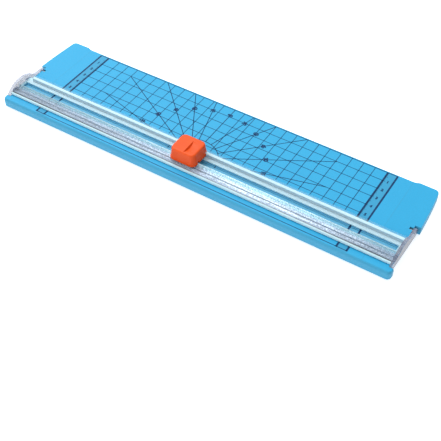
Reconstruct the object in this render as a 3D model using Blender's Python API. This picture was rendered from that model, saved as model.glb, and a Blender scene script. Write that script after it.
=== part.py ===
"""Rotary paper trimmer: a moulded board, a clear rail hinged at both ends, and a cutter that slides on the rail.

Metres, +Z up. The origin is the middle of the board, on the surface that its feet stand on. +X runs along the
board, +Y points to its back edge. Distances across the board are measured from the cutting line.
"""

import math

import bmesh
import bpy

# Board
BOARD_LENGTH = 0.3624  # over the widest point of the bowed ends
BOARD_DEPTH = 0.0960  # front edge to the back of the wings
BOARD_HEIGHT = 0.0080  # underside to top, without the feet
END_BOW = 0.0034  # how far the ends fall away towards the back corners
WING_LENGTH = 0.0240  # plain ends outside the crease
WING_BULGE = 0.0015  # how far the wings stand behind the middle of the back edge
WING_EASE = 0.0050  # along the board, from the crease to the full bulge
WING_DROP = 0.0006  # how far a wing falls from its crease to its end
WIDEST_FROM_CUT = 0.0150
FRONT_CORNER_RADIUS = 0.0032
BACK_CORNER_RADIUS = 0.0038
SIDE_EDGE_RADIUS = 0.0008
FRONT_EDGE_RADIUS = 0.0025
PLATE_THICKNESS = 0.0024
WALL = 0.0022
RIB = 0.0016
RIB_SPACING = 0.0580
CUT_TO_FRONT = 0.0225  # cutting line to the front edge

# Feet
FOOT_RADIUS = 0.0050
FOOT_STAND = 0.0012  # how far the feet stand out of the underside
FOOT_POCKET = 0.0010
FOOT_FROM_END = 0.0210
FOOT_FROM_EDGE = 0.0090

# Cutting strip in the groove under the blade
STRIP_WIDTH = 0.0048
STRIP_THICKNESS = 0.0009

# Hinge of the rail
PIVOT_TO_CUT = 0.0260
PIVOT_BELOW_TOP = 0.0030
PIN_RADIUS = 0.0015
PIN_LENGTH = 0.0050
BOSS_RADIUS = 0.0030
NOTCH_BEHIND_BOSS = 0.0012
LUG_LENGTH = 0.0042
LUG_HALF_WIDTH = 0.0048
SNAP_NECK = 0.0026  # the socket is narrower than the pin above it, so that the pin snaps in

# End cheeks of the rail
CHEEK_THICKNESS = 0.0028
CHEEK_INSET = 0.0020  # outer face to the widest point of the board's end
CHEEK_HALF_CHORD = 0.0164
CHEEK_HEIGHT = 0.0076
CHEEK_SHOULDER = 0.0010
ARM_TOP = 0.0006
CHEEK_BELOW_TOP = 0.0018  # at its front end; the underside slopes down from there to the boss
CHEEK_CORNER_RADIUS = 0.0012

# Rail, heights from the board's top
RAIL_LIFT = 0.0005
RAIL_FRONT = 0.0150
RAIL_BACK = 0.0148
WEB_TOP = 0.0024
RULER_TOP = 0.0022
FLANGE_TOP = 0.0018
SLOT_FRONT = 0.0031
SLOT_BACK = 0.0035
BACK_RIDGE_START = 0.0069
BACK_RIDGE_WIDTH = 0.0027
BACK_RIDGE_TOP = 0.0056
FRONT_RIDGE_START = 0.0034
FRONT_RIDGE_WIDTH = 0.0012
FRONT_RIDGE_TOP = 0.0040
BRIDGE_LENGTH = 0.0015  # solid web at each end of the slot
RIDGE_GAP = 0.0055  # the back ridge stops short at one end, where the cutter is put on
REBATE_TOP = 0.0014
REBATE_WIDTH = 0.0015
GRIP_WIDTH = 0.0012
GRIP_DEPTH = 0.0008
GRIP_FROM_CUT = 0.0119
TONGUE_LENGTH = 0.0015
TONGUE_THICKNESS = 0.0009

# Cutter, heights from the board's top at rest
CUTTER_X = -0.0048
PRESS_TRAVEL = 0.0016
CAP_LENGTH = 0.0240
CAP_WIDTH = 0.0222
CAP_BOTTOM = 0.0042
CAP_LIP = 0.0003
CAP_LIP_HEIGHT = 0.0012
CAP_TAPER = 0.0010
CAP_CORNER_RADIUS = 0.0040
CAP_EDGE_RADIUS = 0.0014
CAP_SIDE_WALL = 0.0015
CAP_END_WALL = 0.0010
CAP_CEILING = 0.0023
SCOOP_X = 0.0017
SCOOP_LENGTH = 0.0150
SCOOP_DEPTH = 0.0016
SCOOP_LEAN = 0.0008  # how far the steep wall leans back over that depth
TAB_HALF_WIDTH = 0.0015
TAB_THICKNESS = 0.0010
TAB_REACH = 0.0011
DECK_THICKNESS = 0.0011
DECK_CLEARANCE = 0.0003
SHOE_START = 0.0060
SHOE_END = 0.0086
HOOK_THICKNESS = 0.0007
HOOK_REACH = 0.0011
WINDOW_HALF_WIDTH = 0.0031

# Blade and what holds it
BLADE_RADIUS = 0.0046
BLADE_THICKNESS = 0.0005
BLADE_EDGE = 0.0007
BLADE_OVER_BOARD = 0.0001  # when pressed down
AXLE_RADIUS = 0.0008
AXLE_HEAD_RADIUS = 0.0014
AXLE_HEAD = 0.0005
WASHER_RADIUS = 0.0018
WASHER_THICKNESS = 0.0003
FORK_PLATE = 0.0011
FORK_RADIUS = 0.0024
HOLDER_HALF_LENGTH = 0.0034
HOLDER_HALF_WIDTH = 0.0048
HOLDER_TOP = 0.0010
CLIP_RADIUS = 0.0015
CLIP_THICKNESS = 0.0002
SCREW_OFFSET = 0.0034
SCREW_RADIUS = 0.0007
SCREW_HEAD_RADIUS = 0.0012
SCREW_HEAD = 0.0009
SCREW_BITE = 0.0013
SPRING_OFFSET = 0.0072
SPRING_RADIUS = 0.0015
SPRING_WIRE = 0.00025
SPRING_TURNS = 3.5

# Fits
GAP = 0.0003  # between pieces that rest on or sit in each other
RUNNING = 0.00008  # between a pin or axle and its hole
OVERSHOOT = 0.0020  # how far a cutter runs past the face that it opens

# Places worked out from the sizes
BOARD_BOTTOM = FOOT_STAND
BOARD_TOP = FOOT_STAND + BOARD_HEIGHT
HALF_LENGTH = BOARD_LENGTH / 2
FRONT_Y = -BOARD_DEPTH / 2
BACK_Y = BOARD_DEPTH / 2
CUT_Y = FRONT_Y + CUT_TO_FRONT
PIVOT_Y = CUT_Y + PIVOT_TO_CUT
PIVOT_Z = BOARD_TOP - PIVOT_BELOW_TOP
WIDEST_Y = CUT_Y + WIDEST_FROM_CUT
CHEEK_OUTER = HALF_LENGTH - CHEEK_INSET
CHEEK_INNER = CHEEK_OUTER - CHEEK_THICKNESS
NOTCH_WALL = CHEEK_INNER - GAP
NOTCH_BACK_Y = PIVOT_Y + BOSS_RADIUS + NOTCH_BEHIND_BOSS
NOTCH_FRONT_Y = CUT_Y - CHEEK_HALF_CHORD - 0.0005
RAIL_HALF = CHEEK_INNER - GAP
SLOT_HALF = RAIL_HALF - BRIDGE_LENGTH
DECK_BOTTOM = BACK_RIDGE_TOP + GAP
DECK_TOP = DECK_BOTTOM + DECK_THICKNESS
BLADE_Z = BLADE_OVER_BOARD + PRESS_TRAVEL + BLADE_RADIUS
CEILING = BLADE_Z + BLADE_RADIUS + GAP + HOLDER_TOP + GAP
CAP_TOP = CEILING + CAP_CEILING
FORK_INNER = BLADE_THICKNESS / 2 + 2 * RUNNING + WASHER_THICKNESS
FORK_OUTER = FORK_INNER + FORK_PLATE
RAIL_AXIS = (0, PIVOT_Y, PIVOT_Z)
CUTTER_ORIGIN = (CUTTER_X, CUT_Y, BOARD_TOP)
BLADE_AXIS = (CUTTER_X, CUT_Y, BOARD_TOP + BLADE_Z)
WORLD = (0, 0, 0)


# Scene and materials

def clear_scene():
    for obj in list(bpy.data.objects):
        bpy.data.objects.remove(obj, do_unlink=True)


def material(name, colour, roughness, metallic=0.0, alpha=1.0):
    made = bpy.data.materials.new(name)
    made.use_nodes = True
    shader = made.node_tree.nodes["Principled BSDF"]
    shader.inputs["Base Color"].default_value = (*colour, 1)
    shader.inputs["Roughness"].default_value = roughness
    shader.inputs["Metallic"].default_value = metallic
    shader.inputs["Alpha"].default_value = alpha
    made.diffuse_color = (*colour, alpha)
    return made


# Mesh helpers: each adds one closed body to a bmesh

def add_loft(bm, loops):
    """Joins closed loops of the same number of points, which turn anticlockwise seen from the last loop."""
    rings = [[bm.verts.new(point) for point in loop] for loop in loops]
    for lower, upper in zip(rings, rings[1:]):
        count = len(lower)
        for i in range(count):
            j = (i + 1) % count
            bm.faces.new((lower[i], lower[j], upper[j], upper[i]))
    bm.faces.new(reversed(rings[0]))
    bm.faces.new(rings[-1])


def add_prism(bm, outline, axis, low, high):
    """Extrudes an anticlockwise outline. The outline holds (y, z), (z, x) or (x, y) points for axis X, Y or Z."""
    places = {
        "X": lambda a, b, along: (along, a, b),
        "Y": lambda a, b, along: (b, along, a),
        "Z": lambda a, b, along: (a, b, along),
    }[axis]
    add_loft(bm, [[places(a, b, along) for a, b in outline] for along in (low, high)])


def add_box(bm, low, high):
    corners = [(low[0], low[1]), (high[0], low[1]), (high[0], high[1]), (low[0], high[1])]
    add_prism(bm, corners, "Z", low[2], high[2])


def circle(centre, radius, count=24, start=0.0, end=360.0):
    """Points on an arc in degrees. A whole circle leaves out the point that would repeat."""
    whole = abs(end - start - 360) < 1e-6
    steps = count if whole else count - 1
    turns = [math.radians(start + (end - start) * i / steps) for i in range(count)]
    return [(centre[0] + radius * math.cos(a), centre[1] + radius * math.sin(a)) for a in turns]


def add_rod(bm, axis, centre, radius, low, high, count=24):
    add_prism(bm, circle(centre, radius, count), axis, low, high)


def add_turned(bm, profile, count):
    """Turns a closed anticlockwise profile of (radius, y) points round the Y axis, which it doesn't touch."""
    rings = []
    for i in range(count):
        a = 2 * math.pi * i / count
        rings.append([bm.verts.new((r * math.sin(a), y, r * math.cos(a))) for r, y in profile])
    for i in range(count):
        this, after = rings[i], rings[(i + 1) % count]
        for k in range(len(profile)):
            n = (k + 1) % len(profile)
            bm.faces.new((this[k], this[n], after[n], after[k]))


def rounded_rectangle(half_x, half_y, radius, centre=(0, 0), count=5):
    points = []
    corners = ((1, -1, -90), (1, 1, 0), (-1, 1, 90), (-1, -1, 180))
    for side_x, side_y, start in corners:
        middle = (centre[0] + side_x * (half_x - radius), centre[1] + side_y * (half_y - radius))
        points += circle(middle, radius, count, start, start + 90)
    return points


# Objects

def add_object(name, bm, origin, finish=None, smooth=35):
    """Makes the object of a mesh that was built in world places, with its origin where asked."""
    bmesh.ops.translate(bm, verts=bm.verts, vec=[-value for value in origin])
    bmesh.ops.recalc_face_normals(bm, faces=bm.faces)
    mesh = bpy.data.meshes.new(name)
    bm.to_mesh(mesh)
    bm.free()
    obj = bpy.data.objects.new(name, mesh)
    obj.location = origin
    bpy.context.collection.objects.link(obj)
    if finish:
        mesh.materials.append(finish)
        mesh.shade_smooth()
        mesh.set_sharp_from_angle(angle=math.radians(smooth))
    return obj


def add_helper(name, bm):
    helper = add_object(name, bm, WORLD)
    helper.hide_render = True
    helper.display_type = "WIRE"
    return helper


def combine(target, helper, operation):
    modifier = target.modifiers.new(helper.name, "BOOLEAN")
    modifier.object = helper
    modifier.operation = operation


def cut(target, name, bm):
    combine(target, add_helper(name, bm), "DIFFERENCE")


def unite(target, name, bm):
    combine(target, add_helper(name, bm), "UNION")


# Board

def half_length_at(y):
    return HALF_LENGTH - END_BOW * ((y - WIDEST_Y) / (BACK_Y - WIDEST_Y)) ** 2


def board_outline():
    """The board seen from above: straight front, bowed ends, and wings that stand a little behind the middle."""
    front, back = FRONT_CORNER_RADIUS, BACK_CORNER_RADIUS
    front_x = half_length_at(FRONT_Y + front) - front
    back_x = half_length_at(BACK_Y - back) - back
    right = circle((front_x, FRONT_Y + front), front, 7, -90, 0)
    low, high = FRONT_Y + front, BACK_Y - back
    for i in range(1, 8):
        y = low + (high - low) * i / 8
        right.append((half_length_at(y), y))
    right += circle((back_x, BACK_Y - back), back, 7, 0, 90)
    crease = HALF_LENGTH - WING_LENGTH
    for i in range(7):
        along = i / 6
        ease = along * along * (3 - 2 * along)
        right.append((crease + WING_EASE * (1 - along), BACK_Y - WING_BULGE * ease))
    return right + [(-x, y) for x, y in reversed(right)]


def inset_outline(outline, share):
    """Moves each point inwards by this share of its edge radius, which is larger along the front."""
    moved = []
    for i, (x, y) in enumerate(outline):
        before, after = outline[i - 1], outline[(i + 1) % len(outline)]
        along = (after[0] - before[0], after[1] - before[1])
        length = math.hypot(*along)
        out_x, out_y = along[1] / length, -along[0] / length
        edge = SIDE_EDGE_RADIUS + (FRONT_EDGE_RADIUS - SIDE_EDGE_RADIUS) * max(0, -out_y)
        moved.append((x - out_x * edge * share, y - out_y * edge * share))
    return moved


def add_board_block(bm):
    outline = board_outline()
    levels = [(BOARD_BOTTOM, 0.25), (BOARD_BOTTOM + 0.0006, 0.0)]
    for i in range(6):
        a = math.radians(90 * i / 5)
        rise = FRONT_EDGE_RADIUS * (math.sin(a) - 1)
        levels.append((BOARD_TOP + rise, 1 - math.cos(a)))
    add_loft(bm, [[(x, y, z) for x, y in inset_outline(outline, share)] for z, share in levels])


def spans(low, high, spacing):
    """Equal bays between low and high with a rib between each two."""
    count = max(1, round((high - low) / spacing))
    bay = (high - low - RIB * (count - 1)) / count
    return [(low + i * (bay + RIB), low + i * (bay + RIB) + bay) for i in range(count)]


def add_hollows(bm):
    """The bays between the ribs under the plate."""
    flank = STRIP_WIDTH / 2 + GAP + 0.003
    front = [(FRONT_Y + WALL, CUT_Y - flank - RIB), (CUT_Y - flank, CUT_Y + flank)]
    rows = front + spans(CUT_Y + flank + RIB, BACK_Y - WING_BULGE - WALL, 0.0210)
    half = NOTCH_WALL - WALL
    for low_y, high_y in rows:
        for low_x, high_x in spans(-half, half, RIB_SPACING):
            low = (low_x, low_y, BOARD_BOTTOM - OVERSHOOT)
            add_box(bm, low, (high_x, high_y, BOARD_TOP - PLATE_THICKNESS))


def foot_places():
    x = HALF_LENGTH - FOOT_FROM_END
    front, rear = FRONT_Y + FOOT_FROM_EDGE, BACK_Y - FOOT_FROM_EDGE - WING_BULGE - WALL
    return {
        "foot_front_left": (-x, front),
        "foot_front_right": (x, front),
        "foot_rear_left": (-x, rear),
        "foot_rear_right": (x, rear),
    }


def add_foot_pads(bm):
    for place in foot_places().values():
        low, high = BOARD_BOTTOM + 0.0002, BOARD_TOP - PLATE_THICKNESS / 2
        add_rod(bm, "Z", place, FOOT_RADIUS + GAP + 0.0011, low, high, 32)


def add_lugs(bm):
    """Blocks inside the ends that the hinge pins turn in."""
    for side in (-1, 1):
        inner, outer = NOTCH_WALL - LUG_LENGTH, NOTCH_WALL - WALL / 2
        x = sorted((side * inner, side * outer))
        low = (x[0], PIVOT_Y - LUG_HALF_WIDTH, BOARD_BOTTOM + 0.0004)
        high = (x[1], PIVOT_Y + LUG_HALF_WIDTH, BOARD_TOP - PLATE_THICKNESS / 2)
        add_box(bm, low, high)


def add_openings(bm):
    """The groove of the cutting strip, the notches that the cheeks drop into, and the feet's pockets."""
    groove = STRIP_WIDTH / 2 + GAP
    floor = BOARD_TOP - STRIP_THICKNESS - GAP
    add_box(bm, (-SLOT_HALF, CUT_Y - groove, floor), (SLOT_HALF, CUT_Y + groove, BOARD_TOP + OVERSHOOT))
    for side in (-1, 1):
        x = sorted((side * NOTCH_WALL, side * (HALF_LENGTH + OVERSHOOT)))
        low = (x[0], NOTCH_FRONT_Y, BOARD_BOTTOM - OVERSHOOT)
        add_box(bm, low, (x[1], NOTCH_BACK_Y, BOARD_TOP + OVERSHOOT))
    for place in foot_places().values():
        low = BOARD_BOTTOM - OVERSHOOT
        add_rod(bm, "Z", place, FOOT_RADIUS + GAP, low, BOARD_BOTTOM + FOOT_POCKET, 32)


def add_sockets(bm):
    """A round seat for each hinge pin, with the narrower neck above it that the pin snaps through."""
    for side in (-1, 1):
        x = sorted((side * (NOTCH_WALL - LUG_LENGTH + 0.0014), side * (NOTCH_WALL + OVERSHOOT)))
        radius = PIN_RADIUS + RUNNING
        half_neck = math.degrees(math.asin(SNAP_NECK / 2 / radius))
        seat = circle((PIVOT_Y, PIVOT_Z), radius, 20, 90 + half_neck, 450 - half_neck)
        top = BOARD_TOP + OVERSHOOT
        neck = [(PIVOT_Y + SNAP_NECK / 2, top), (PIVOT_Y - SNAP_NECK / 2, top)]
        add_prism(bm, seat + neck, "X", x[0], x[1])


def add_wing_slopes(bm):
    """What is taken off above each wing, so that it falls from its crease to the end."""
    for side in (-1, 1):
        crease = side * (HALF_LENGTH - WING_LENGTH)
        end = side * (HALF_LENGTH + OVERSHOOT)
        drop = WING_DROP * (WING_LENGTH + OVERSHOOT) / WING_LENGTH
        top = BOARD_TOP + OVERSHOOT
        slope = [(BOARD_TOP - drop, end), (top, end), (top, crease), (BOARD_TOP, crease)]
        add_prism(bm, slope, "Y", CUT_Y + RAIL_BACK + GAP, BACK_Y + OVERSHOOT)


def add_board(blue):
    bm = bmesh.new()
    add_board_block(bm)
    board = add_object("base_board", bm, WORLD, blue)
    steps = (
        (cut, "hollows", add_hollows),
        (unite, "foot_pads", add_foot_pads),
        (unite, "hinge_lugs", add_lugs),
        (cut, "groove_notches_pockets", add_openings),
        (cut, "pin_sockets", add_sockets),
        (cut, "wing_slopes", add_wing_slopes),
    )
    for change, name, build in steps:
        bm = bmesh.new()
        build(bm)
        change(board, name, bm)


def add_cutting_strip(vinyl):
    bm = bmesh.new()
    half = SLOT_HALF - GAP
    low = (-half, CUT_Y - STRIP_WIDTH / 2, BOARD_TOP - STRIP_THICKNESS)
    add_box(bm, low, (half, CUT_Y + STRIP_WIDTH / 2, BOARD_TOP - 0.00005))
    add_object("cutting_strip", bm, WORLD, vinyl)


def add_feet(rubber):
    edge = 0.0004
    for name, place in foot_places().items():
        bm = bmesh.new()
        top = BOARD_BOTTOM + FOOT_POCKET - GAP
        levels = ((0, FOOT_RADIUS - edge), (edge, FOOT_RADIUS), (top, FOOT_RADIUS))
        add_loft(bm, [[(x, y, z) for x, y in circle(place, radius, 32)] for z, radius in levels])
        add_object(name, bm, (*place, 0), rubber)


# Rail

def from_cut(points):
    """Profile points given from the cutting line and the board's top, as (y, z) places."""
    return [(CUT_Y + y, BOARD_TOP + z) for y, z in points]


def rail_profile():
    """The rail's section: ruler plate, low front ridge, web over the slot, tall back ridge and a back flange."""
    soft = 0.0006
    grip_front = GRIP_FROM_CUT + GRIP_WIDTH / 2 + GAP
    grip_back = GRIP_FROM_CUT - GRIP_WIDTH / 2 - GAP
    rebate_front = SLOT_FRONT + REBATE_WIDTH
    rebate_back = SLOT_BACK + REBATE_WIDTH
    ridge_back = BACK_RIDGE_START + BACK_RIDGE_WIDTH
    low_ridge = FRONT_RIDGE_START + FRONT_RIDGE_WIDTH
    underside = [
        (-RAIL_FRONT, RAIL_LIFT),
        (-grip_front, RAIL_LIFT),
        (-grip_front, REBATE_TOP),
        (-grip_back, REBATE_TOP),
        (-grip_back, RAIL_LIFT),
        (-rebate_front, RAIL_LIFT),
        (-rebate_front, REBATE_TOP),
        (rebate_back, REBATE_TOP),
        (rebate_back, RAIL_LIFT),
        (RAIL_BACK, RAIL_LIFT),
    ]
    ridge_top = BACK_RIDGE_TOP - soft
    back = [
        (RAIL_BACK, FLANGE_TOP),
        (ridge_back, FLANGE_TOP),
        (ridge_back, ridge_top),
        (ridge_back - soft * 0.3, BACK_RIDGE_TOP - soft * 0.3),
        (ridge_back - soft, BACK_RIDGE_TOP),
        (BACK_RIDGE_START + soft, BACK_RIDGE_TOP),
        (BACK_RIDGE_START + soft * 0.3, BACK_RIDGE_TOP - soft * 0.3),
        (BACK_RIDGE_START, ridge_top),
        (BACK_RIDGE_START, WEB_TOP),
    ]
    edge = 0.0002
    front = [
        (-FRONT_RIDGE_START, WEB_TOP),
        (-FRONT_RIDGE_START, FRONT_RIDGE_TOP - edge),
        (-FRONT_RIDGE_START - edge, FRONT_RIDGE_TOP),
        (-low_ridge + edge, FRONT_RIDGE_TOP),
        (-low_ridge, FRONT_RIDGE_TOP - edge),
        (-low_ridge, RULER_TOP),
        (-0.0090, RULER_TOP),
        (-0.0092, RULER_TOP - 0.0003),
        (-0.0094, RULER_TOP),
        (-RAIL_FRONT + 0.0017, RULER_TOP),
        (-RAIL_FRONT + 0.0015, RULER_TOP + 0.0003),
        (-RAIL_FRONT + 0.0003, RULER_TOP + 0.0003),
        (-RAIL_FRONT, RULER_TOP),
    ]
    return from_cut(underside + back + front)


def tongue_boxes(extra, reach):
    """The tongues at the rail's ends, as (low, high) corners. The cheeks' sockets are these, larger by extra."""
    boxes = []
    for side in (-1, 1):
        x = sorted((side * (RAIL_HALF - 0.0006), side * (CHEEK_INNER + reach)))
        for front, back in ((-0.0110, -0.0060), (0.0062, 0.0102)):
            low_z = BOARD_TOP + RAIL_LIFT + 0.0002
            low = (x[0], CUT_Y + front - extra, low_z - extra)
            boxes.append((low, (x[1], CUT_Y + back + extra, low_z + TONGUE_THICKNESS + extra)))
    return boxes


def add_rail(clear):
    bm = bmesh.new()
    add_prism(bm, rail_profile(), "X", -RAIL_HALF, RAIL_HALF)
    rail = add_object("guide_rail", bm, RAIL_AXIS, clear)
    bm = bmesh.new()
    top = BOARD_TOP + BACK_RIDGE_TOP + OVERSHOOT
    low = (-SLOT_HALF, CUT_Y - SLOT_FRONT, BOARD_TOP - OVERSHOOT)
    add_box(bm, low, (SLOT_HALF, CUT_Y + SLOT_BACK, top))
    ridge = CUT_Y + BACK_RIDGE_START - GAP
    low = (-RAIL_HALF - OVERSHOOT, ridge, BOARD_TOP + WEB_TOP)
    high = (-RAIL_HALF + RIDGE_GAP, ridge + BACK_RIDGE_WIDTH + 2 * GAP, top)
    add_box(bm, low, high)
    cut(rail, "slot_and_ridge_gap", bm)
    bm = bmesh.new()
    for low, high in tongue_boxes(0, TONGUE_LENGTH):
        add_box(bm, low, high)
    unite(rail, "rail_tongues", bm)


def add_grip_strip(rubber):
    bm = bmesh.new()
    half = RAIL_HALF - GAP
    middle = CUT_Y - GRIP_FROM_CUT
    high_z = BOARD_TOP + REBATE_TOP - GAP
    low = (-half, middle - GRIP_WIDTH / 2, high_z - GRIP_DEPTH)
    add_box(bm, low, (half, middle + GRIP_WIDTH / 2, high_z))
    add_object("paper_grip_strip", bm, RAIL_AXIS, rubber)


def cheek_outline():
    """The side view of an end cheek: the boss at the hinge, an arm level with the board, and an arch."""
    chord, height, shoulder = CHEEK_HALF_CHORD, CHEEK_HEIGHT, CHEEK_SHOULDER
    rise = height - shoulder
    radius = (chord**2 + rise**2) / (2 * rise)
    half_angle = math.degrees(math.asin(chord / radius))
    middle = (CUT_Y, BOARD_TOP + height - radius)
    arch = circle(middle, radius, 17, 90 - half_angle, 90 + half_angle)
    bottom = BOARD_TOP - CHEEK_BELOW_TOP
    corner = CHEEK_CORNER_RADIUS
    front = circle((CUT_Y - chord + corner, bottom + corner), corner, 6, 180, 270)
    boss = circle((PIVOT_Y, PIVOT_Z), BOSS_RADIUS, 13, -96, 90)
    arm = (CUT_Y + chord + 0.0020, BOARD_TOP + ARM_TOP)
    return arch + front + boss + [arm]


def add_cheek(name, side, clear):
    bm = bmesh.new()
    x = sorted((side * CHEEK_INNER, side * CHEEK_OUTER))
    add_prism(bm, cheek_outline(), "X", x[0], x[1])
    cheek = add_object(name, bm, RAIL_AXIS, clear)
    bm = bmesh.new()
    hole = sorted((side * (CHEEK_INNER - OVERSHOOT), side * (CHEEK_OUTER - 0.0004)))
    add_rod(bm, "X", (PIVOT_Y, PIVOT_Z), PIN_RADIUS + RUNNING, hole[0], hole[1])
    for low, high in tongue_boxes(GAP, TONGUE_LENGTH + GAP):
        if low[0] * side > 0:
            add_box(bm, low, high)
    cut(cheek, name + "_sockets", bm)


def add_hinge_pin(name, side, steel):
    bm = bmesh.new()
    outer = CHEEK_OUTER - 0.0004 - RUNNING
    x = sorted((side * (outer - PIN_LENGTH), side * outer))
    add_rod(bm, "X", (PIVOT_Y, PIVOT_Z), PIN_RADIUS, x[0], x[1])
    add_object(name, bm, RAIL_AXIS, steel)


# Cutter. Its pieces are built round its own origin: the cutting line at the board's top.

def placed(point):
    return tuple(a + b for a, b in zip(point, CUTTER_ORIGIN))


def add_cutter_box(bm, low, high):
    add_box(bm, placed(low), placed(high))


def cap_loop(z, half_x, half_y, radius):
    points = rounded_rectangle(half_x, half_y, radius)
    return [placed((x, y, z)) for x, y in points]


def add_cap(orange):
    half_x, half_y, edge = CAP_LENGTH / 2, CAP_WIDTH / 2, CAP_EDGE_RADIUS
    radius = CAP_CORNER_RADIUS
    lip_top = CAP_BOTTOM + CAP_LIP_HEIGHT
    loops = [
        cap_loop(CAP_BOTTOM, half_x, half_y, radius),
        cap_loop(lip_top, half_x, half_y, radius),
        cap_loop(lip_top, half_x - CAP_LIP, half_y - CAP_LIP, radius),
    ]
    for i in range(6):
        a = math.radians(90 * i / 5)
        inset = CAP_TAPER + edge * (1 - math.cos(a))
        z = CAP_TOP - edge + edge * math.sin(a)
        loops.append(cap_loop(z, half_x - inset, half_y - inset, radius - edge * (1 - math.cos(a))))
    bm = bmesh.new()
    add_loft(bm, loops)
    cap = add_object("cutter_cap", bm, CUTTER_ORIGIN, orange)

    inner_x, inner_y = half_x - CAP_SIDE_WALL, half_y - CAP_END_WALL
    bm = bmesh.new()
    low = cap_loop(CAP_BOTTOM - OVERSHOOT, inner_x, inner_y, radius - CAP_END_WALL)
    add_loft(bm, [low, cap_loop(CEILING, inner_x - CAP_TAPER, inner_y - CAP_TAPER, radius - CAP_END_WALL)])
    cut(cap, "cap_inside", bm)

    bm = bmesh.new()
    room = PRESS_TRAVEL + GAP
    ridge_back = BACK_RIDGE_START + BACK_RIDGE_WIDTH
    out = half_x + OVERSHOOT
    low = (-out, BACK_RIDGE_START - GAP, CAP_BOTTOM - OVERSHOOT)
    add_cutter_box(bm, low, (out, ridge_back + GAP * 0.8, BACK_RIDGE_TOP + room))
    low = (-out, -FRONT_RIDGE_START - FRONT_RIDGE_WIDTH - GAP, CAP_BOTTOM - OVERSHOOT)
    add_cutter_box(bm, low, (out, -FRONT_RIDGE_START + GAP, FRONT_RIDGE_TOP + room))
    cut(cap, "ridge_notches", bm)

    bm = bmesh.new()
    for side in (-1, 1):
        x = sorted((side * (half_x - CAP_SIDE_WALL / 2), side * (inner_x - TAB_REACH)))
        top = DECK_BOTTOM - GAP
        add_cutter_box(bm, (x[0], -TAB_HALF_WIDTH, top - TAB_THICKNESS), (x[1], TAB_HALF_WIDTH, top))
    unite(cap, "cap_tabs", bm)

    bm = bmesh.new()
    add_scoop(bm)
    for side in (-1, 1):
        centre = (CUTTER_X, CUT_Y + side * SCREW_OFFSET)
        low = BOARD_TOP + CEILING - OVERSHOOT / 4
        add_rod(bm, "Z", centre, SCREW_RADIUS + RUNNING, low, BOARD_TOP + CEILING + SCREW_BITE + GAP, 16)
    cut(cap, "scoop_and_pilot_holes", bm)


def add_scoop(bm):
    """The finger hold: a steep wall on its left, and a round hollow that runs out towards the right edge."""
    radius = (SCOOP_LENGTH**2 / 4 + SCOOP_DEPTH**2) / (2 * SCOOP_DEPTH)
    right = CAP_LENGTH / 2 - CAP_TAPER - CAP_EDGE_RADIUS
    top = CAP_TOP + OVERSHOOT / 2
    centre = (-SCOOP_LENGTH / 10, CAP_TOP - SCOOP_DEPTH + radius)
    reach = math.degrees(math.acos((centre[1] - top) / radius))
    hollow = circle(centre, radius, 17, 270 - reach, 270 + reach)
    section = hollow + [(hollow[-1][0], top + 2 * OVERSHOOT), (hollow[0][0], top + 2 * OVERSHOOT)]
    loops = []
    for x, lean in ((SCOOP_X, SCOOP_LEAN / SCOOP_DEPTH), (CAP_LENGTH, 0)):
        rise = SCOOP_DEPTH * (x - SCOOP_X) / (right - SCOOP_X)
        floor = CAP_TOP - SCOOP_DEPTH
        loops.append([placed((x - lean * (z - floor), y, z + rise)) for y, z in section])
    add_loft(bm, loops)


def add_carriage(orange):
    """The deck that the springs stand on, and two shoes through the slot that hook under the rail."""
    half_x = CAP_LENGTH / 2 - CAP_SIDE_WALL - CAP_TAPER - DECK_CLEARANCE + 0.0002
    half_y = CAP_WIDTH / 2 - CAP_END_WALL - CAP_TAPER - DECK_CLEARANCE + 0.0002
    bm = bmesh.new()
    outline = rounded_rectangle(half_x, half_y, CAP_CORNER_RADIUS - CAP_END_WALL - GAP)
    add_loft(bm, [[placed((x, y, z)) for x, y in outline] for z in (DECK_BOTTOM, DECK_TOP)])
    carriage = add_object("cutter_carriage", bm, CUTTER_ORIGIN, orange)
    bm = bmesh.new()
    window = BLADE_RADIUS + GAP
    low = (-window, -WINDOW_HALF_WIDTH, DECK_BOTTOM - OVERSHOOT)
    add_cutter_box(bm, low, (window, WINDOW_HALF_WIDTH, DECK_TOP + OVERSHOOT))
    cut(carriage, "deck_window", bm)
    bm = bmesh.new()
    for side in (-1, 1):
        add_shoe(bm, side)
    unite(carriage, "carriage_shoes", bm)


def add_shoe(bm, side):
    """A shoe's section across the rail: hooks below the web, a neck through the slot and a foot on the web."""
    front, back = -SLOT_FRONT + GAP, SLOT_BACK - GAP
    hook_top = REBATE_TOP - GAP
    hook_bottom = hook_top - HOOK_THICKNESS
    foot = BACK_RIDGE_START - 2 * GAP
    foot_bottom = WEB_TOP + GAP
    section = [
        (front - HOOK_REACH, hook_bottom),
        (back + HOOK_REACH, hook_bottom),
        (back + HOOK_REACH, hook_top),
        (back, hook_top),
        (back, foot_bottom),
        (foot, foot_bottom),
        (foot, foot_bottom + 0.0012),
        (back, foot_bottom + 0.0012),
        (back, DECK_BOTTOM + DECK_THICKNESS / 2),
        (front, DECK_BOTTOM + DECK_THICKNESS / 2),
        (front, hook_top),
        (front - HOOK_REACH, hook_top),
    ]
    x = sorted((side * SHOE_START, side * SHOE_END))
    add_prism(bm, from_cut(section), "X", CUTTER_X + x[0], CUTTER_X + x[1])


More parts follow.
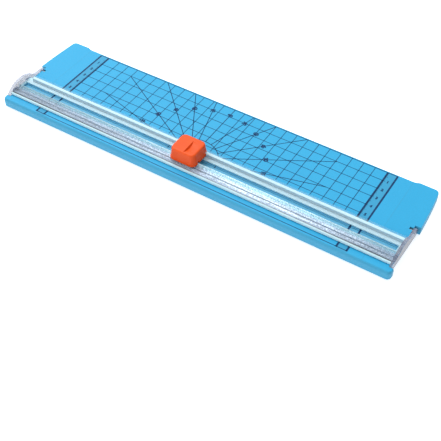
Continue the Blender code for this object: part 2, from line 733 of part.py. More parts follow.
def add_blade_holder(black):
    """A top block under the cap's ceiling, and a fork of two plates that carries the axle."""
    top = CEILING - GAP
    bottom = top - HOLDER_TOP
    bm = bmesh.new()
    low = (-HOLDER_HALF_LENGTH, -HOLDER_HALF_WIDTH, bottom)
    add_cutter_box(bm, low, (HOLDER_HALF_LENGTH, HOLDER_HALF_WIDTH, top))
    holder = add_object("blade_holder", bm, CUTTER_ORIGIN, black)
    bm = bmesh.new()
    centre_z, centre_x = BOARD_TOP + BLADE_Z, CUTTER_X
    tip = circle((centre_z, centre_x), FORK_RADIUS, 13, 90, 270)
    upper = BOARD_TOP + bottom + HOLDER_TOP / 2
    plate = tip + [(upper, centre_x - FORK_RADIUS), (upper, centre_x + FORK_RADIUS)]
    for side in (-1, 1):
        y = sorted((CUT_Y + side * FORK_INNER, CUT_Y + side * FORK_OUTER))
        add_prism(bm, plate, "Y", y[0], y[1])
    unite(holder, "fork_plates", bm)
    bm = bmesh.new()
    reach = FORK_OUTER + OVERSHOOT
    centre = (centre_z, centre_x)
    add_rod(bm, "Y", centre, AXLE_RADIUS + RUNNING, CUT_Y - reach, CUT_Y + reach, 16)
    for side in (-1, 1):
        centre = (CUTTER_X, CUT_Y + side * SCREW_OFFSET)
        low, high = BOARD_TOP + bottom - OVERSHOOT / 4, BOARD_TOP + top + OVERSHOOT / 4
        add_rod(bm, "Z", centre, SCREW_RADIUS + RUNNING, low, high, 16)
    cut(holder, "holder_holes", bm)


def add_turned_piece(name, profile, count, finish):
    """A piece turned about the blade's axis. The profile's y is measured from the cutting line."""
    bm = bmesh.new()
    add_turned(bm, profile, count)
    bmesh.ops.translate(bm, verts=bm.verts, vec=BLADE_AXIS)
    add_object(name, bm, BLADE_AXIS, finish)


def add_blade(steel):
    half, edge = BLADE_THICKNESS / 2, BLADE_RADIUS - BLADE_EDGE
    hole = AXLE_RADIUS + RUNNING
    profile = [(hole, -half), (edge, -half), (BLADE_RADIUS, 0), (edge, half), (hole, half)]
    add_turned_piece("rotary_blade", profile, 48, steel)


def add_washers(steel):
    inner, near = AXLE_RADIUS + RUNNING, BLADE_THICKNESS / 2 + RUNNING
    for name, side in (("blade_washer_front", -1), ("blade_washer_back", 1)):
        low, high = sorted((side * near, side * (near + WASHER_THICKNESS)))
        profile = [(inner, low), (WASHER_RADIUS, low), (WASHER_RADIUS, high), (inner, high)]
        add_turned_piece(name, profile, 24, steel)


def clip_groove():
    start = FORK_OUTER + RUNNING
    return start, start + CLIP_THICKNESS + RUNNING


def add_axle(steel):
    """A headed axle with a groove for its clip."""
    low, high = clip_groove()
    neck = AXLE_RADIUS * 0.7
    head = -FORK_OUTER - RUNNING
    levels = (
        (head - AXLE_HEAD, AXLE_HEAD_RADIUS),
        (head, AXLE_HEAD_RADIUS),
        (head, AXLE_RADIUS),
        (low, AXLE_RADIUS),
        (low, neck),
        (high, neck),
        (high, AXLE_RADIUS),
        (high + 0.0003, AXLE_RADIUS),
    )
    bm = bmesh.new()
    loops = []
    for y, radius in levels:
        points = circle((BLADE_AXIS[2], BLADE_AXIS[0]), radius, 16)
        loops.append([(x, CUT_Y + y, z) for z, x in points])
    add_loft(bm, loops)
    add_object("blade_axle", bm, BLADE_AXIS, steel)


def add_axle_clip(steel):
    """An open ring that snaps into the axle's groove from above."""
    low, high = clip_groove()
    middle = (BLADE_AXIS[2], BLADE_AXIS[0])
    inner = AXLE_RADIUS * 0.7 + RUNNING * 0.5
    outside = circle(middle, CLIP_RADIUS, 19, 35, 325)
    inside = circle(middle, inner, 19, 35, 325)
    bm = bmesh.new()
    slack = RUNNING / 2
    add_prism(bm, outside + inside[::-1], "Y", CUT_Y + low + slack, CUT_Y + high - slack)
    add_object("axle_clip", bm, BLADE_AXIS, steel)


def add_screws(steel):
    """Holder screws, driven up into the cap's ceiling."""
    seat = CEILING - GAP - HOLDER_TOP - RUNNING
    for name, side in (("holder_screw_front", -1), ("holder_screw_back", 1)):
        centre = (CUTTER_X, CUT_Y + side * SCREW_OFFSET)
        levels = (
            (seat - SCREW_HEAD, SCREW_HEAD_RADIUS * 0.6),
            (seat - SCREW_HEAD * 0.5, SCREW_HEAD_RADIUS),
            (seat, SCREW_HEAD_RADIUS),
            (seat, SCREW_RADIUS),
            (CEILING + SCREW_BITE * 0.7, SCREW_RADIUS),
            (CEILING + SCREW_BITE, SCREW_RADIUS * 0.4),
        )
        bm = bmesh.new()
        loops = [[(x, y, BOARD_TOP + z) for x, y in circle(centre, radius, 16)] for z, radius in levels]
        add_loft(bm, loops)
        add_object(name, bm, CUTTER_ORIGIN, steel)


def add_springs(steel):
    """Open coils between the carriage's deck and the cap's ceiling."""
    low = BOARD_TOP + DECK_TOP + GAP + SPRING_WIRE
    high = BOARD_TOP + CEILING - GAP - SPRING_WIRE
    steps = round(SPRING_TURNS * 12)
    for name, side in (("return_spring_left", -1), ("return_spring_right", 1)):
        curve = bpy.data.curves.new(name, "CURVE")
        curve.dimensions = "3D"
        curve.bevel_depth = SPRING_WIRE
        curve.bevel_resolution = 1
        curve.use_fill_caps = True
        curve.materials.append(steel)
        spline = curve.splines.new("POLY")
        spline.points.add(steps)
        for i, point in enumerate(spline.points):
            a = 2 * math.pi * SPRING_TURNS * i / steps
            height = low + (high - low) * i / steps - BOARD_TOP
            point.co = (SPRING_RADIUS * math.cos(a), SPRING_RADIUS * math.sin(a), height, 1)
        spring = bpy.data.objects.new(name, curve)
        spring.location = (CUTTER_X + side * SPRING_OFFSET, CUT_Y, BOARD_TOP)
        bpy.context.collection.objects.link(spring)


def main():
    clear_scene()
    blue = material("blue moulded plastic", (0.055, 0.42, 0.85), 0.38)
    vinyl = material("blue vinyl strip", (0.06, 0.30, 0.60), 0.5)
    clear = material("clear acrylic", (0.80, 0.86, 0.92), 0.08, alpha=0.4)
    smoke = material("clear end cheek", (0.62, 0.66, 0.74), 0.15, alpha=0.5)
    orange = material("orange moulded plastic", (0.95, 0.16, 0.03), 0.4)
    black = material("black acetal", (0.02, 0.02, 0.02), 0.45)
    rubber = material("black rubber", (0.015, 0.015, 0.015), 0.8)
    grey_rubber = material("grey rubber feet", (0.10, 0.10, 0.11), 0.85)
    blade_steel = material("ground blade steel", (0.62, 0.63, 0.65), 0.2, metallic=1.0)
    pin_steel = material("plated steel", (0.50, 0.50, 0.52), 0.3, metallic=1.0)

    add_board(blue)
    add_cutting_strip(vinyl)
    add_feet(grey_rubber)
    add_rail(clear)
    add_grip_strip(rubber)
    for name, side in (("left", -1), ("right", 1)):
        add_cheek("end_cheek_" + name, side, smoke)
        add_hinge_pin("hinge_pin_" + name, side, pin_steel)
    add_cap(orange)
    add_carriage(orange)
    add_blade_holder(black)
    add_blade(blade_steel)
    add_washers(pin_steel)
    add_axle(pin_steel)
    add_axle_clip(pin_steel)
    add_screws(pin_steel)
    add_springs(pin_steel)


main()
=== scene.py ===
import math

import bmesh
import bpy
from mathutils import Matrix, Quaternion, Vector


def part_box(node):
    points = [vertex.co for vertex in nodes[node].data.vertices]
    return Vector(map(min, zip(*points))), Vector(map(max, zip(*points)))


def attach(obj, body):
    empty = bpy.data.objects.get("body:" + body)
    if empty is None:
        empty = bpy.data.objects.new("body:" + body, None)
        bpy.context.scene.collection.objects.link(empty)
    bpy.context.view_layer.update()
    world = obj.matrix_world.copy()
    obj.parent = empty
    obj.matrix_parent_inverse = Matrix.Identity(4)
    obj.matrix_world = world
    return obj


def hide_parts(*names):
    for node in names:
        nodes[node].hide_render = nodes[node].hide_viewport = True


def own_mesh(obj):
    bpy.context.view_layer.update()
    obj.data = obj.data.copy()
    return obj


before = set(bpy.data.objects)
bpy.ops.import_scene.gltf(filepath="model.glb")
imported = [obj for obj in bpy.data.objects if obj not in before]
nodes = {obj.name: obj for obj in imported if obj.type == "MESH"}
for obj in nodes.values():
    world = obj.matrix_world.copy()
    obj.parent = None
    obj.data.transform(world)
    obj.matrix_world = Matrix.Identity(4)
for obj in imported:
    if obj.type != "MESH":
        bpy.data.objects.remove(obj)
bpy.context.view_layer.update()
print("frame loaded:", len(nodes), "nodes")

stripRecess = 0.00005  # the strip lies this far below the board's top
railLow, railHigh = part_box("guide_rail")
stripLow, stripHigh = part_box("cutting_strip")
boardTop = stripHigh.z + stripRecess
cutY = (stripLow.y + stripHigh.y) / 2  # the line that the blade follows
refraction = {"polystyrene": 1.59, "acrylic": 1.49, "abs": 1.54, "pvc": 1.53, "rubber": 1.5, "acetal": 1.48}


def linear(hexColour):
    values = []
    for i in (0, 2, 4):
        c = int(hexColour[i:i + 2], 16) / 255
        values.append(c / 12.92 if c <= 0.04045 else ((c + 0.055) / 1.055) ** 2.4)
    return (*values, 1.0)


def feed(tree, socket, value):
    # a value is another node's output or a plain setting
    if isinstance(value, bpy.types.NodeSocket):
        tree.links.new(value, socket)
    else:
        socket.default_value = value


def addNode(tree, kind, settings=None, inputs=None):
    node = tree.nodes.new(kind)
    for key, value in (settings or {}).items():
        setattr(node, key, value)
    for key, value in (inputs or {}).items():
        feed(tree, node.inputs[key], value)
    return node


def newMaterial(name):
    material = bpy.data.materials.new(name)
    material.use_nodes = True
    tree = material.node_tree
    shader = tree.nodes["Principled BSDF"]
    place = addNode(tree, "ShaderNodeTexCoord").outputs["Object"]
    return material, tree, shader, place


def setShader(tree, shader, values):
    for name, value in values.items():
        feed(tree, shader.inputs[name], value)


def addNoise(tree, place, size, detail, distortion=0.0):
    # size is in metres
    inputs = {"Vector": place, "Scale": 1 / size, "Detail": detail, "Distortion": distortion}
    return addNode(tree, "ShaderNodeTexNoise", inputs=inputs).outputs["Fac"]


def addStretch(tree, place, scale):
    return addNode(tree, "ShaderNodeMapping", inputs={"Vector": place, "Scale": scale}).outputs["Vector"]


def addMath(tree, operation, *values, clamp=False):
    settings = {"operation": operation, "use_clamp": clamp}
    return addNode(tree, "ShaderNodeMath", settings, dict(enumerate(values))).outputs["Value"]


def addRange(tree, value, low, high, toLow=0.0, toHigh=1.0):
    inputs = {"Value": value, "From Min": low, "From Max": high, "To Min": toLow, "To Max": toHigh}
    return addNode(tree, "ShaderNodeMapRange", inputs=inputs).outputs["Result"]


def addMix(tree, factor, first, second, blend="MIX"):
    settings = {"data_type": "RGBA", "blend_type": blend}
    return addNode(tree, "ShaderNodeMix", settings, {0: factor, 6: first, 7: second}).outputs[2]


def addSwitch(tree, factor, value):
    # 1 where factor is 0, and value where it is 1
    return addNode(tree, "ShaderNodeMix", {"data_type": "FLOAT"}, {0: factor, 2: 1.0, 3: value}).outputs[0]


def addRamp(tree, factor, stops):
    # a stop's second value is a colour, or a number for a grey
    ramp = addNode(tree, "ShaderNodeValToRGB", inputs={"Fac": factor})
    elements = ramp.color_ramp.elements
    while len(elements) < len(stops):
        elements.new(0.5)
    for element, (position, tone) in zip(elements, stops):
        element.position = position
        element.color = (tone, tone, tone, 1) if isinstance(tone, (int, float)) else tone
    return ramp.outputs["Color"]


def addBump(tree, shader, height, strength, distance):
    inputs = {"Height": height, "Strength": strength, "Distance": distance}
    bump = addNode(tree, "ShaderNodeBump", inputs=inputs)
    tree.links.new(bump.outputs["Normal"], shader.inputs["Normal"])


def split(tree, vector):
    return addNode(tree, "ShaderNodeSeparateXYZ", inputs={"Vector": vector}).outputs


def facing(tree):
    # the direction that the surface faces, as three numbers
    return split(tree, addNode(tree, "ShaderNodeTexCoord").outputs["Normal"])


def paint(names, material):
    for name in names:
        data = nodes[name].data
        data.materials.clear()
        data.materials.append(material)


def addMesh(name, bm):
    mesh = bpy.data.meshes.new(name)
    bm.to_mesh(mesh)
    bm.free()
    made = bpy.data.objects.new(name, mesh)
    bpy.context.scene.collection.objects.link(made)
    return made


# Board: high-impact polystyrene, injection moulded in a finely eroded tool
boardLook = {
    "colour": "28a6d6",
    "shade": "209dcf",
    "edge": "3795bc",  # painted shade on the rounded edges and side faces, greyer where they turn away from the light
    "band": "2e93bd",  # under the rulers at both ends of the grid
    "bandEdges": (0.1360, 0.1445),  # from the board's middle
    "bandTone": 0.8,
    # painted shade along the fold where each wing starts
    "crease": 0.157,
    "creaseShadeTone": 0.55,
    # paler tone beside the strip: partly wear, partly painted light against the rail's shadow
    "rubbedAndLit": "63b7de",
    "roughness": (0.42, 0.56),
    "grain": 0.0007,  # mm-sized for the eye: a real eroded grain is a tenth of this
    "cloud": 0.045,
    "gloss": 0.25,  # an eroded face gives back half the gloss
}


def mouldedPolystyrene():
    # soft satin blue: the grain breaks up highlights, and the flow of the plastic clouds the colour a little
    look = boardLook
    material, tree, shader, place = newMaterial("moulded polystyrene")
    cloud = addNoise(tree, place, look["cloud"], 3.0)
    grain = addNoise(tree, place, look["grain"], 2.0)
    clouded = addMix(tree, cloud, linear(look["colour"]), linear(look["shade"]))
    # along the board: the ruler bands are a tone darker, and a thin line of painted shade marks the fold
    # where each wing starts
    parts = split(tree, place)
    first, last = 0.13, 0.16  # from the board's middle
    along = addRange(tree, addMath(tree, "ABSOLUTE", parts["X"]), first, last)

    def at(x):
        return (x - first) / (last - first)

    (inner, outer), tone, soft = look["bandEdges"], look["bandTone"], 0.0002
    fold, foldShadeTone = look["crease"], look["creaseShadeTone"]
    bandsAndFoldShade = addRamp(tree, along, [
        (at(inner - soft), 0), (at(inner + soft), tone), (at(outer - soft), tone), (at(outer + soft), 0),
        (at(fold - 0.0005), 0), (at(fold - soft), foldShadeTone), (at(fold), foldShadeTone), (at(fold + 0.0003), 0),
    ])
    banded = addMix(tree, bandsAndFoldShade, clouded, linear(look["band"]))
    # across the board: paler beside the strip, partly rubbed where the cutter's shoes run and partly painted
    # light, brightest just behind the strip, where it offsets the rail's shadow
    reach = 0.01
    across = addRange(tree, parts["Y"], cutY - reach, cutY + reach)
    wornAndLit = addRamp(tree, across, [(0.18, 0), (0.26, 0.75), (0.58, 0.75), (0.64, 1), (0.76, 1), (0.84, 0)])
    scuffedAndLit = addMix(tree, wornAndLit, banded, linear(look["rubbedAndLit"]))
    # rounded edges: painted shade, greyer as the surface turns away from level
    tiltShade = addRange(tree, facing(tree)["Z"], 0.985, 0.80)
    edgeShaded = addMix(tree, tiltShade, scuffedAndLit, linear(look["edge"]))
    fleck = addRange(tree, grain, 0.3, 0.7, 0.95, 1.04)
    setShader(tree, shader, {
        "Base Color": addMix(tree, 1.0, edgeShaded, fleck, "MULTIPLY"),
        "Roughness": addRange(tree, grain, 0, 1, *look["roughness"]),
        "IOR": refraction["polystyrene"],
        "Specular IOR Level": look["gloss"],
    })
    addBump(tree, shader, grain, 0.25, 0.00006)
    return material


# Rail: acrylic, extruded, so every line of its die runs the whole length
railLook = {
    "ruler": "cde0f4",
    "web": "d8f4ff",
    # painted highlight along the plate's front edge, the slot's rims and the ridge's top
    "edge": "d3f5ff",
    "flange": "bfe3f0",
    "line": "6e7a84",
    "grip": "14191e",  # the dark strip underneath, which shows where less light crosses the plate
    "ridgeFaceShade": "a4b6c2",  # painted shade on the upright front of the ridge, seen through its whole height
    "streak": 0.0007,  # width of a die line, coarser than the real 0.1 mm so that it shows
    "stretch": 0.03,  # a die line is this much finer across than along
    "frost": 0.0011,  # patches where the plastic is less clear
    "peak": 1.32,  # light in the brightest part of the plate
    "haze": 1.5,  # how fast the plate clouds over as it catches more light
    "roughness": 0.12,
}


def extrudedAcrylic():
    # pale and glossy: nearly white where the plastic is thick or ribbed, and see-through where it is thin;
    # the edges carry painted highlights and the ridge's upright front a painted shade
    look = railLook
    material, tree, shader, place = newMaterial("extruded acrylic")
    parts = split(tree, place)
    low, high = railLow.y, railHigh.y
    across = addRange(tree, parts["Y"], low, high)

    def at(mm):
        # millimetres from the cutting line, as a share of the rail's width
        return (cutY + mm / 1000 - low) / (high - low)

    ruler, web, edge, line, ridgeFaceShade, flange, grip = (
        linear(look[key]) for key in ("ruler", "web", "edge", "line", "ridgeFaceShade", "flange", "grip"))
    # the edge bands are painted highlights; the face band is painted shade
    tone = addRamp(tree, across, [
        (0.0, edge), (at(-13.8), edge), (at(-13.4), line), (at(-12.8), line), (at(-12.3), ruler),
        (at(-9.3), ruler), (at(-9.0), line), (at(-8.4), line), (at(-8.0), ruler), (at(-5.4), ruler),
        (at(-5.0), edge), (at(-3.3), edge), (at(4.2), edge), (at(4.6), web), (at(6.6), web),
        (at(6.8), ridgeFaceShade), (at(6.96), ridgeFaceShade), (at(7.0), edge), (at(9.6), edge), (at(9.8), flange),
    ])
    cover = addRamp(tree, across, [
        (0.0, 0.72), (at(-13.6), 0.72), (at(-12.7), 0.42), (at(-12.4), 0.3), (at(-11.4), 0.34),
        (at(-11.0), 0.58), (at(-7.5), 0.56), (at(-4.7), 0.44), (at(-3.2), 0.4), (at(3.6), 0.55),
        (at(4.4), 0.6), (at(4.8), 0.62), (at(6.4), 0.66), (at(7.0), 0.75), (at(9.6), 0.75), (at(9.9), 0.1),
    ])
    # the wide plate catches more of the room's light to the right of its middle, and less at both ends
    wide = addRamp(tree, across, [(at(-13.6), 0), (at(-12.9), 1), (at(-3.4), 1), (at(-3.2), 0)])
    halfLength = 0.18
    along = addRange(tree, parts["X"], -halfLength, halfLength)
    sheen = addRamp(tree, along, [(0.0, 0.55), (0.1, 0.60), (0.25, 0.70), (0.45, 0.82), (0.64, 1.0),
                                  (0.8, 0.90), (0.95, 0.68)])
    lit = addSwitch(tree, wide, addMath(tree, "MULTIPLY", sheen, look["peak"]))
    # die lines and frost make the plate sparkle
    streak = addNoise(tree, addStretch(tree, place, (look["stretch"], 1.0, 1.0)), look["streak"], 2.0)
    sparkle = addMath(tree, "ADD", streak, addNoise(tree, place, look["frost"], 1.0))
    fleck = addSwitch(tree, wide, addRange(tree, sparkle, 0.75, 1.25, 0.77, 1.19))
    speck = addSwitch(tree, wide, addRange(tree, sparkle, 0.75, 1.25, 0.62, 1.35))
    colour = addMix(tree, 1.0, tone, addMath(tree, "MULTIPLY", fleck, lit), "MULTIPLY")
    # the strip under the front of the plate shows as a dark line, deepened at both ends by painted shade
    # where the painted sheen is low
    under = addRamp(tree, across, [(at(-13.9), 0), (at(-13.6), 1), (at(-12.7), 1), (at(-12.3), 0)])
    dark = addMath(tree, "MULTIPLY", under, addRange(tree, sheen, 0.95, 0.6, 0.05, 0.85))
    haze = addMath(tree, "POWER", lit, look["haze"])
    shown = addMath(tree, "MULTIPLY", addMath(tree, "MULTIPLY", cover, speck), haze)
    fresnel = addNode(tree, "ShaderNodeFresnel", inputs={"IOR": refraction["acrylic"]}).outputs["Fac"]
    rimmed = addMath(tree, "ADD", shown, addMath(tree, "MULTIPLY", fresnel, cover), clamp=True)
    setShader(tree, shader, {
        "Base Color": addMix(tree, dark, colour, grip),
        "Alpha": addMath(tree, "MAXIMUM", rimmed, dark),
        "Roughness": look["roughness"],
        "IOR": refraction["acrylic"],
    })
    addBump(tree, shader, streak, 0.15, 0.00005)
    return material


# Cheeks: the same clear acrylic, but moulded, and thick enough to look grey
cheekLook = {
    "dark": "6f7a96",
    "pale": "a6b0c6",
    "shade": "4d5468",  # the outer face on the right, away from the key light
    "cover": 0.28,
    "outer": 0.35,
    "roughness": 0.16,
    "flow": 0.004,  # swirls left where the plastic met itself in the mould
}


def mouldedAcrylic():
    # smoky where two faces are seen through each other, and bright along the rims
    look = cheekLook
    material, tree, shader, place = newMaterial("moulded clear acrylic")
    flow = addNoise(tree, place, look["flow"], 3.0, 0.6)
    colour = addRamp(tree, flow, [(0.3, linear(look["dark"])), (0.7, linear(look["pale"]))])
    rim = addNode(tree, "ShaderNodeLayerWeight", inputs={"Blend": 0.25}).outputs["Facing"]
    # the right cheek's outer face covers more, because the light comes from the left
    onRight = addMath(tree, "GREATER_THAN", split(tree, place)["X"], 0.0)
    outer = addMath(tree, "MULTIPLY", facing(tree)["X"], onRight, clamp=True)
    cover = addMath(tree, "MULTIPLY_ADD", outer, look["outer"], look["cover"])
    setShader(tree, shader, {
        "Base Color": addMix(tree, outer, colour, linear(look["shade"])),
        "Alpha": addMath(tree, "ADD", rim, cover, clamp=True),
        "Roughness": look["roughness"],
        "IOR": refraction["acrylic"],
    })
    addBump(tree, shader, flow, 0.08, 0.0002)
    return material


# Cutter: ABS, injection moulded, with a satin skin
capLook = {
    "colour": "e85609",
    "shade": "dc4a05",
    # painted shade on the side faces, darker as they turn away from the light above
    "side": "c23a00",
    "sideShadeTone": 0.3,
    "roughness": (0.36, 0.5),
    "grain": 0.0006,  # coarser than the real 0.05 mm, which is too fine to show
    "cloud": 0.008,
    "gloss": 0.25,
}


def mouldedAbs():
    # warm orange with a soft sheen: the fine grain spreads each highlight
    look = capLook
    material, tree, shader, place = newMaterial("moulded satin ABS")
    grain = addNoise(tree, place, look["grain"], 3.0)
    cloud = addNoise(tree, place, look["cloud"], 2.0)
    clouded = addMix(tree, cloud, linear(look["colour"]), linear(look["shade"]))
    # painted shade: the side faces are darker than the top
    tiltShade = addRange(tree, facing(tree)["Z"], 0.95, 0.3, 0.0, look["sideShadeTone"])
    setShader(tree, shader, {
        "Base Color": addMix(tree, tiltShade, clouded, linear(look["side"])),
        "Roughness": addRange(tree, grain, 0, 1, *look["roughness"]),
        "IOR": refraction["abs"],
        "Specular IOR Level": look["gloss"],
    })
    addBump(tree, shader, grain, 0.2, 0.00005)
    return material


# Small pieces: each polymer has two close tones, and each grain is drawn coarser than the real one to show
stripLook = {"tones": ("4b9fc4", "55a9ce"), "roughness": (0.45, 0.6), "grain": 0.002, "bump": 0.2}
gripLook = {"tones": ("16181a", "222427"), "roughness": (0.7, 0.85), "grain": 0.001, "bump": 0.4}
footLook = {"tones": ("4a4c50", "5a5d61"), "roughness": (0.75, 0.9), "grain": 0.0012, "bump": 0.4}
holderLook = {"tones": ("17181a", "232427"), "roughness": (0.35, 0.5), "grain": 0.0008, "bump": 0.2}
bladeLook = {"colour": "b9bcc0", "roughness": (0.16, 0.3), "scratch": 0.0004}
pinLook = {"colour": "a9a8a4", "roughness": (0.2, 0.36), "scratch": 0.0005}


def plainPolymer(name, look, ior):
    # soft PVC looks waxy, rubber dull and acetal slippery: a rougher grain takes more of the shine away
    material, tree, shader, place = newMaterial(name)
    noise = addNoise(tree, place, look["grain"], 3.0)
    first, second = look["tones"]
    setShader(tree, shader, {
        "Base Color": addRamp(tree, noise, [(0.3, linear(first)), (0.7, linear(second))]),
        "Roughness": addRange(tree, noise, 0, 1, *look["roughness"]),
        "IOR": ior,
    })
    addBump(tree, shader, noise, look["bump"], 0.0001)
    return material


def turnedSteel(name, look):
    # bright metal: the fine marks of the tool stretch each highlight across them
    material, tree, shader, place = newMaterial(name)
    marks = addNoise(tree, addStretch(tree, place, (1.0, 0.1, 1.0)), look["scratch"], 4.0)
    setShader(tree, shader, {
        "Base Color": linear(look["colour"]),
        "Metallic": 1.0,
        "Roughness": addRange(tree, marks, 0, 1, *look["roughness"]),
    })
    addBump(tree, shader, marks, 0.15, 0.00003)
    return material


paint(["base_board"], mouldedPolystyrene())
paint(["guide_rail"], extrudedAcrylic())
paint(["end_cheek_left", "end_cheek_right"], mouldedAcrylic())
paint(["cutter_cap", "cutter_carriage"], mouldedAbs())
paint(["cutting_strip"], plainPolymer("soft PVC strip", stripLook, refraction["pvc"]))
paint(["paper_grip_strip"], plainPolymer("extruded black rubber", gripLook, refraction["rubber"]))
paint(["foot_front_left", "foot_front_right", "foot_rear_left", "foot_rear_right"],
      plainPolymer("moulded grey rubber", footLook, refraction["rubber"]))
paint(["blade_holder"], plainPolymer("moulded black acetal", holderLook, refraction["acetal"]))
paint(["rotary_blade"], turnedSteel("ground tool steel", bladeLook))
paint(["hinge_pin_left", "hinge_pin_right", "blade_axle", "axle_clip", "blade_washer_front",
       "blade_washer_back", "return_spring_left", "return_spring_right", "holder_screw_front",
       "holder_screw_back"],
      turnedSteel("nickel-plated steel", pinLook))
print("cad nodes painted")


def softSpring(name):
    mesh = nodes[name].data.copy()
    mesh.transform(nodes[name].matrix_world)
    coil = bpy.data.objects.new(name + "_coil", mesh)
    bpy.context.scene.collection.objects.link(coil)
    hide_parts(name)
    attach(coil, "carriage")
    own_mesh(coil)


for name in ("return_spring_left", "return_spring_right"):
    softSpring(name)


# Print on the board: one pass of ink, drawn as flat strips that lie on the plastic
gridPrint = {
    "square": 0.010,
    "middleX": -0.0050,  # the column that the others are counted from
    "columns": (-12, 13),
    "backY": cutY + 0.0700,
    "rows": 6,
    "pastRow": 0.004,  # how far the columns run past the last row
    "left": (-0.1448, -0.1367),
    "right": (0.1357, 0.1440),
    "frontY": cutY - 0.01955,
    "pastFront": 0.0005,
    "thick": 0.0015,
    "thin": 0.00052,
    "backLine": 1.3,  # as a share of a thin line, like the next two
    "frontLine": 1.2,
    "fanLine": 1.25,
    "fanX": -0.0044,
    "fanY": cutY + 0.0016,
    "fanStep": 15,  # degrees
    "shortFan": {15: 0.110, 30: 0.116},  # length of the shallow lines
    "arc": 0.0222,
    "arcStep": 4,  # degrees
    "labelRadius": 0.0597,
    "label": 0.0046,
    "digit": 0.0036,
    "bold": 0.06,  # share of a digit's size
    "tick": (0.0012, 0.0020, 0.0003),  # short, long and width
    "tickStep": 0.001,
    "ticks": 60,
    "lift": 0.00004,
    "digitLift": 1.5,  # as a share of the lift, so that digits lie over lines
}


def addStrip(bm, start, end, width):
    start, end = Vector(start), Vector(end)
    along = (end - start).normalized()
    side = Vector((-along.y, along.x)) * width / 2
    z = boardTop + gridPrint["lift"]
    corners = (start - side, end - side, end + side, start + side)
    bm.faces.new([bm.verts.new((c.x, c.y, z)) for c in corners])


def fanEnd(degrees):
    # the steep lines run to the back line, and the shallow ones stop inside the grid
    reach = gridPrint["shortFan"].get(min(degrees, 180 - degrees))
    if reach is None:
        reach = (gridPrint["backY"] - gridPrint["fanY"]) / math.sin(math.radians(degrees))
    return reach


def fanPoint(degrees, radius):
    a = math.radians(degrees)
    return (gridPrint["fanX"] + radius * math.cos(a), gridPrint["fanY"] + radius * math.sin(a))


def addPrint():
    g = gridPrint
    bm = bmesh.new()
    for x in (*g["left"], *g["right"]):
        addStrip(bm, (x, g["backY"]), (x, g["frontY"] - g["pastFront"]), g["thick"])
    low, high = g["left"][0], g["right"][1]
    addStrip(bm, (low, g["backY"]), (high, g["backY"]), g["thin"] * g["backLine"])
    addStrip(bm, (low, g["frontY"]), (high, g["frontY"]), g["thin"] * g["frontLine"])
    for i in range(1, g["rows"]):
        y = g["backY"] - i * g["square"]
        addStrip(bm, (g["left"][1], y), (g["right"][0], y), g["thin"])
    last = g["backY"] - (g["rows"] - 1) * g["square"] - g["pastRow"]
    for i in range(g["columns"][0], g["columns"][1] + 1):
        x = g["middleX"] + i * g["square"]
        if i != 0:
            addStrip(bm, (x, g["backY"]), (x, last), g["thin"])
    fanWidth = g["thin"] * g["fanLine"]
    for degrees in range(g["fanStep"], 180, g["fanStep"]):
        addStrip(bm, fanPoint(degrees, g["arc"]), fanPoint(degrees, fanEnd(degrees)), fanWidth)
    for start in range(0, 180, g["arcStep"]):
        addStrip(bm, fanPoint(start, g["arc"]), fanPoint(start + g["arcStep"], g["arc"]), fanWidth)
    short, long, width = g["tick"]
    for edge, away in ((g["left"][1], -1), (g["right"][0], 1)):
        for i in range(1, g["ticks"]):
            y = g["backY"] - i * g["tickStep"]
            addStrip(bm, (edge, y), (edge + away * (short if i % 5 else long), y), width)
    return addMesh("printed_grid", bm)


def addNumbers():
    g = gridPrint
    placed = []
    for side in ("left", "right"):
        x = sum(g[side]) / 2
        for i in range(1, g["rows"]):
            placed.append((str(i), x, g["backY"] - i * g["square"], g["digit"], 0.0))
    for degrees in range(g["fanStep"], 180, g["fanStep"]):
        x, y = fanPoint(degrees, g["labelRadius"])
        placed.append((str(min(degrees, 180 - degrees)), x, y, g["label"], math.radians(degrees - 90)))
    bm = bmesh.new()
    for text, x, y, size, turn in placed:
        curve = bpy.data.curves.new("number", "FONT")
        curve.body = text
        curve.size = size
        curve.offset = size * g["bold"]
        curve.resolution_u = 3
        curve.align_x = "CENTER"
        curve.align_y = "CENTER"
        writing = bpy.data.objects.new("number", curve)
        writing.location = (x, y, boardTop + g["lift"] * g["digitLift"])
        writing.rotation_euler = (0, 0, turn)
        bpy.context.scene.collection.objects.link(writing)
        bpy.context.view_layer.update()
        flat = bpy.data.meshes.new_from_object(writing)
        flat.transform(writing.matrix_world)
        bm.from_mesh(flat)
        bpy.data.meshes.remove(flat)
        bpy.data.objects.remove(writing)
        bpy.data.curves.remove(curve)
    return addMesh("printed_numbers", bm)


inkLook = {
    "tones": ("03294f", "073f6e", "105c96"),
    "roughness": 0.6,
    "mesh": 0.0006,  # coarser than a real screen's 0.1 mm, which is too fine to show
    "gloss": 0.2,
}


def screenInk():
    # dark blue ink from a screen: flat and a little thin, so the board's blue shows in specks
    look = inkLook
    material, tree, shader, place = newMaterial("screen-printed ink")
    mesh = addNoise(tree, place, look["mesh"], 2.0)
    deep, middle, thin = (linear(tone) for tone in look["tones"])
    setShader(tree, shader, {
        "Base Color": addRamp(tree, mesh, [(0.35, deep), (0.62, middle), (0.8, thin)]),
        "Roughness": look["roughness"],
        "IOR": 1.5,
        "Specular IOR Level": look["gloss"],
    })
    addBump(tree, shader, mesh, 0.2, 0.00002)
    return material


ink = screenInk()
for piece in (addPrint(), addNumbers()):
    piece.data.materials.append(ink)
    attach(piece, "base")
print("print laid on the board")


# Studio: an opal light table, walls that darken to the right, a soft key from the left
studio = {
    "floor": ("eaecee", "eef0f2"),
    "floorSize": 4,
    "floorGrain": 1 / 60,
    "floorGlow": 0.6,
    "world": 0.97,
    "fall": 0.55,
    "keyPower": 9.0,
    "keyFrom": (-0.65, 0.35, 1.25),
    "keySize": 0.7,
    "camera": (0.2795, cutY - 0.41099, 0.48302),
    "azimuth": 31.753,
    "elevation": 47.590,
    "roll": 0.42,
    "lens": 70.606,
    "sensor": 36.0,
}


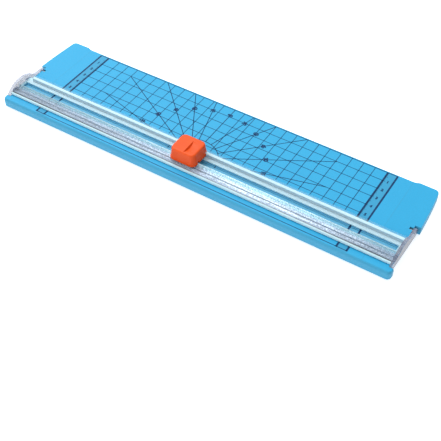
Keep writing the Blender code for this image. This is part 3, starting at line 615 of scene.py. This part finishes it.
def addFloor():
    bm = bmesh.new()
    bmesh.ops.create_grid(bm, x_segments=1, y_segments=1, size=studio["floorSize"])
    made = addMesh("floor", bm)
    # lit from behind, so nothing that stands on it leaves a hard shadow
    material, tree, shader, place = newMaterial("opal acrylic light table")
    grain = addNoise(tree, place, studio["floorGrain"], 3.0)
    darker, paler = studio["floor"]
    setShader(tree, shader, {
        "Base Color": addRamp(tree, grain, [(0.3, linear(darker)), (0.7, linear(paler))]),
        "Roughness": 0.7,
        "Emission Color": (1, 1, 1, 1),
        "Emission Strength": studio["floorGlow"],
    })
    made.data.materials.append(material)


def addWorld():
    world = bpy.data.worlds.new("studio")
    world.use_nodes = True
    tree = world.node_tree
    background = tree.nodes["Background"]
    toRight = split(tree, addNode(tree, "ShaderNodeTexCoord").outputs["Generated"])["X"]
    level, fall = studio["world"], studio["fall"]
    setShader(tree, background, {
        "Color": (1, 1, 1, 1),
        "Strength": addRange(tree, toRight, -1.0, 1.0, level + fall, level - fall),
    })
    bpy.context.scene.world = world


def putInScene(made, where, turn):
    made.location = where
    made.rotation_mode = "QUATERNION"
    made.rotation_quaternion = turn
    bpy.context.scene.collection.objects.link(made)


def addKey():
    light = bpy.data.lights.new("soft key", "AREA")
    light.shape = "DISK"
    light.size = studio["keySize"]
    light.energy = studio["keyPower"]
    source = Vector(studio["keyFrom"])
    putInScene(bpy.data.objects.new("soft key", light), source, (-source).to_track_quat("-Z", "Y"))


def addCamera():
    azimuth, elevation, roll = (math.radians(studio[key]) for key in ("azimuth", "elevation", "roll"))
    level = math.cos(elevation)
    back = Vector((math.sin(azimuth) * level, -math.cos(azimuth) * level, math.sin(elevation)))
    data = bpy.data.cameras.new("camera")
    data.lens = studio["lens"]
    data.sensor_width = studio["sensor"]
    data.clip_start = 0.01
    made = bpy.data.objects.new("camera", data)
    putInScene(made, studio["camera"], (-back).to_track_quat("-Z", "Y") @ Quaternion((0, 0, 1), roll))
    bpy.context.scene.camera = made


addFloor()
addWorld()
addKey()
addCamera()
bpy.context.scene.view_settings.view_transform = "Standard"
print("studio ready")
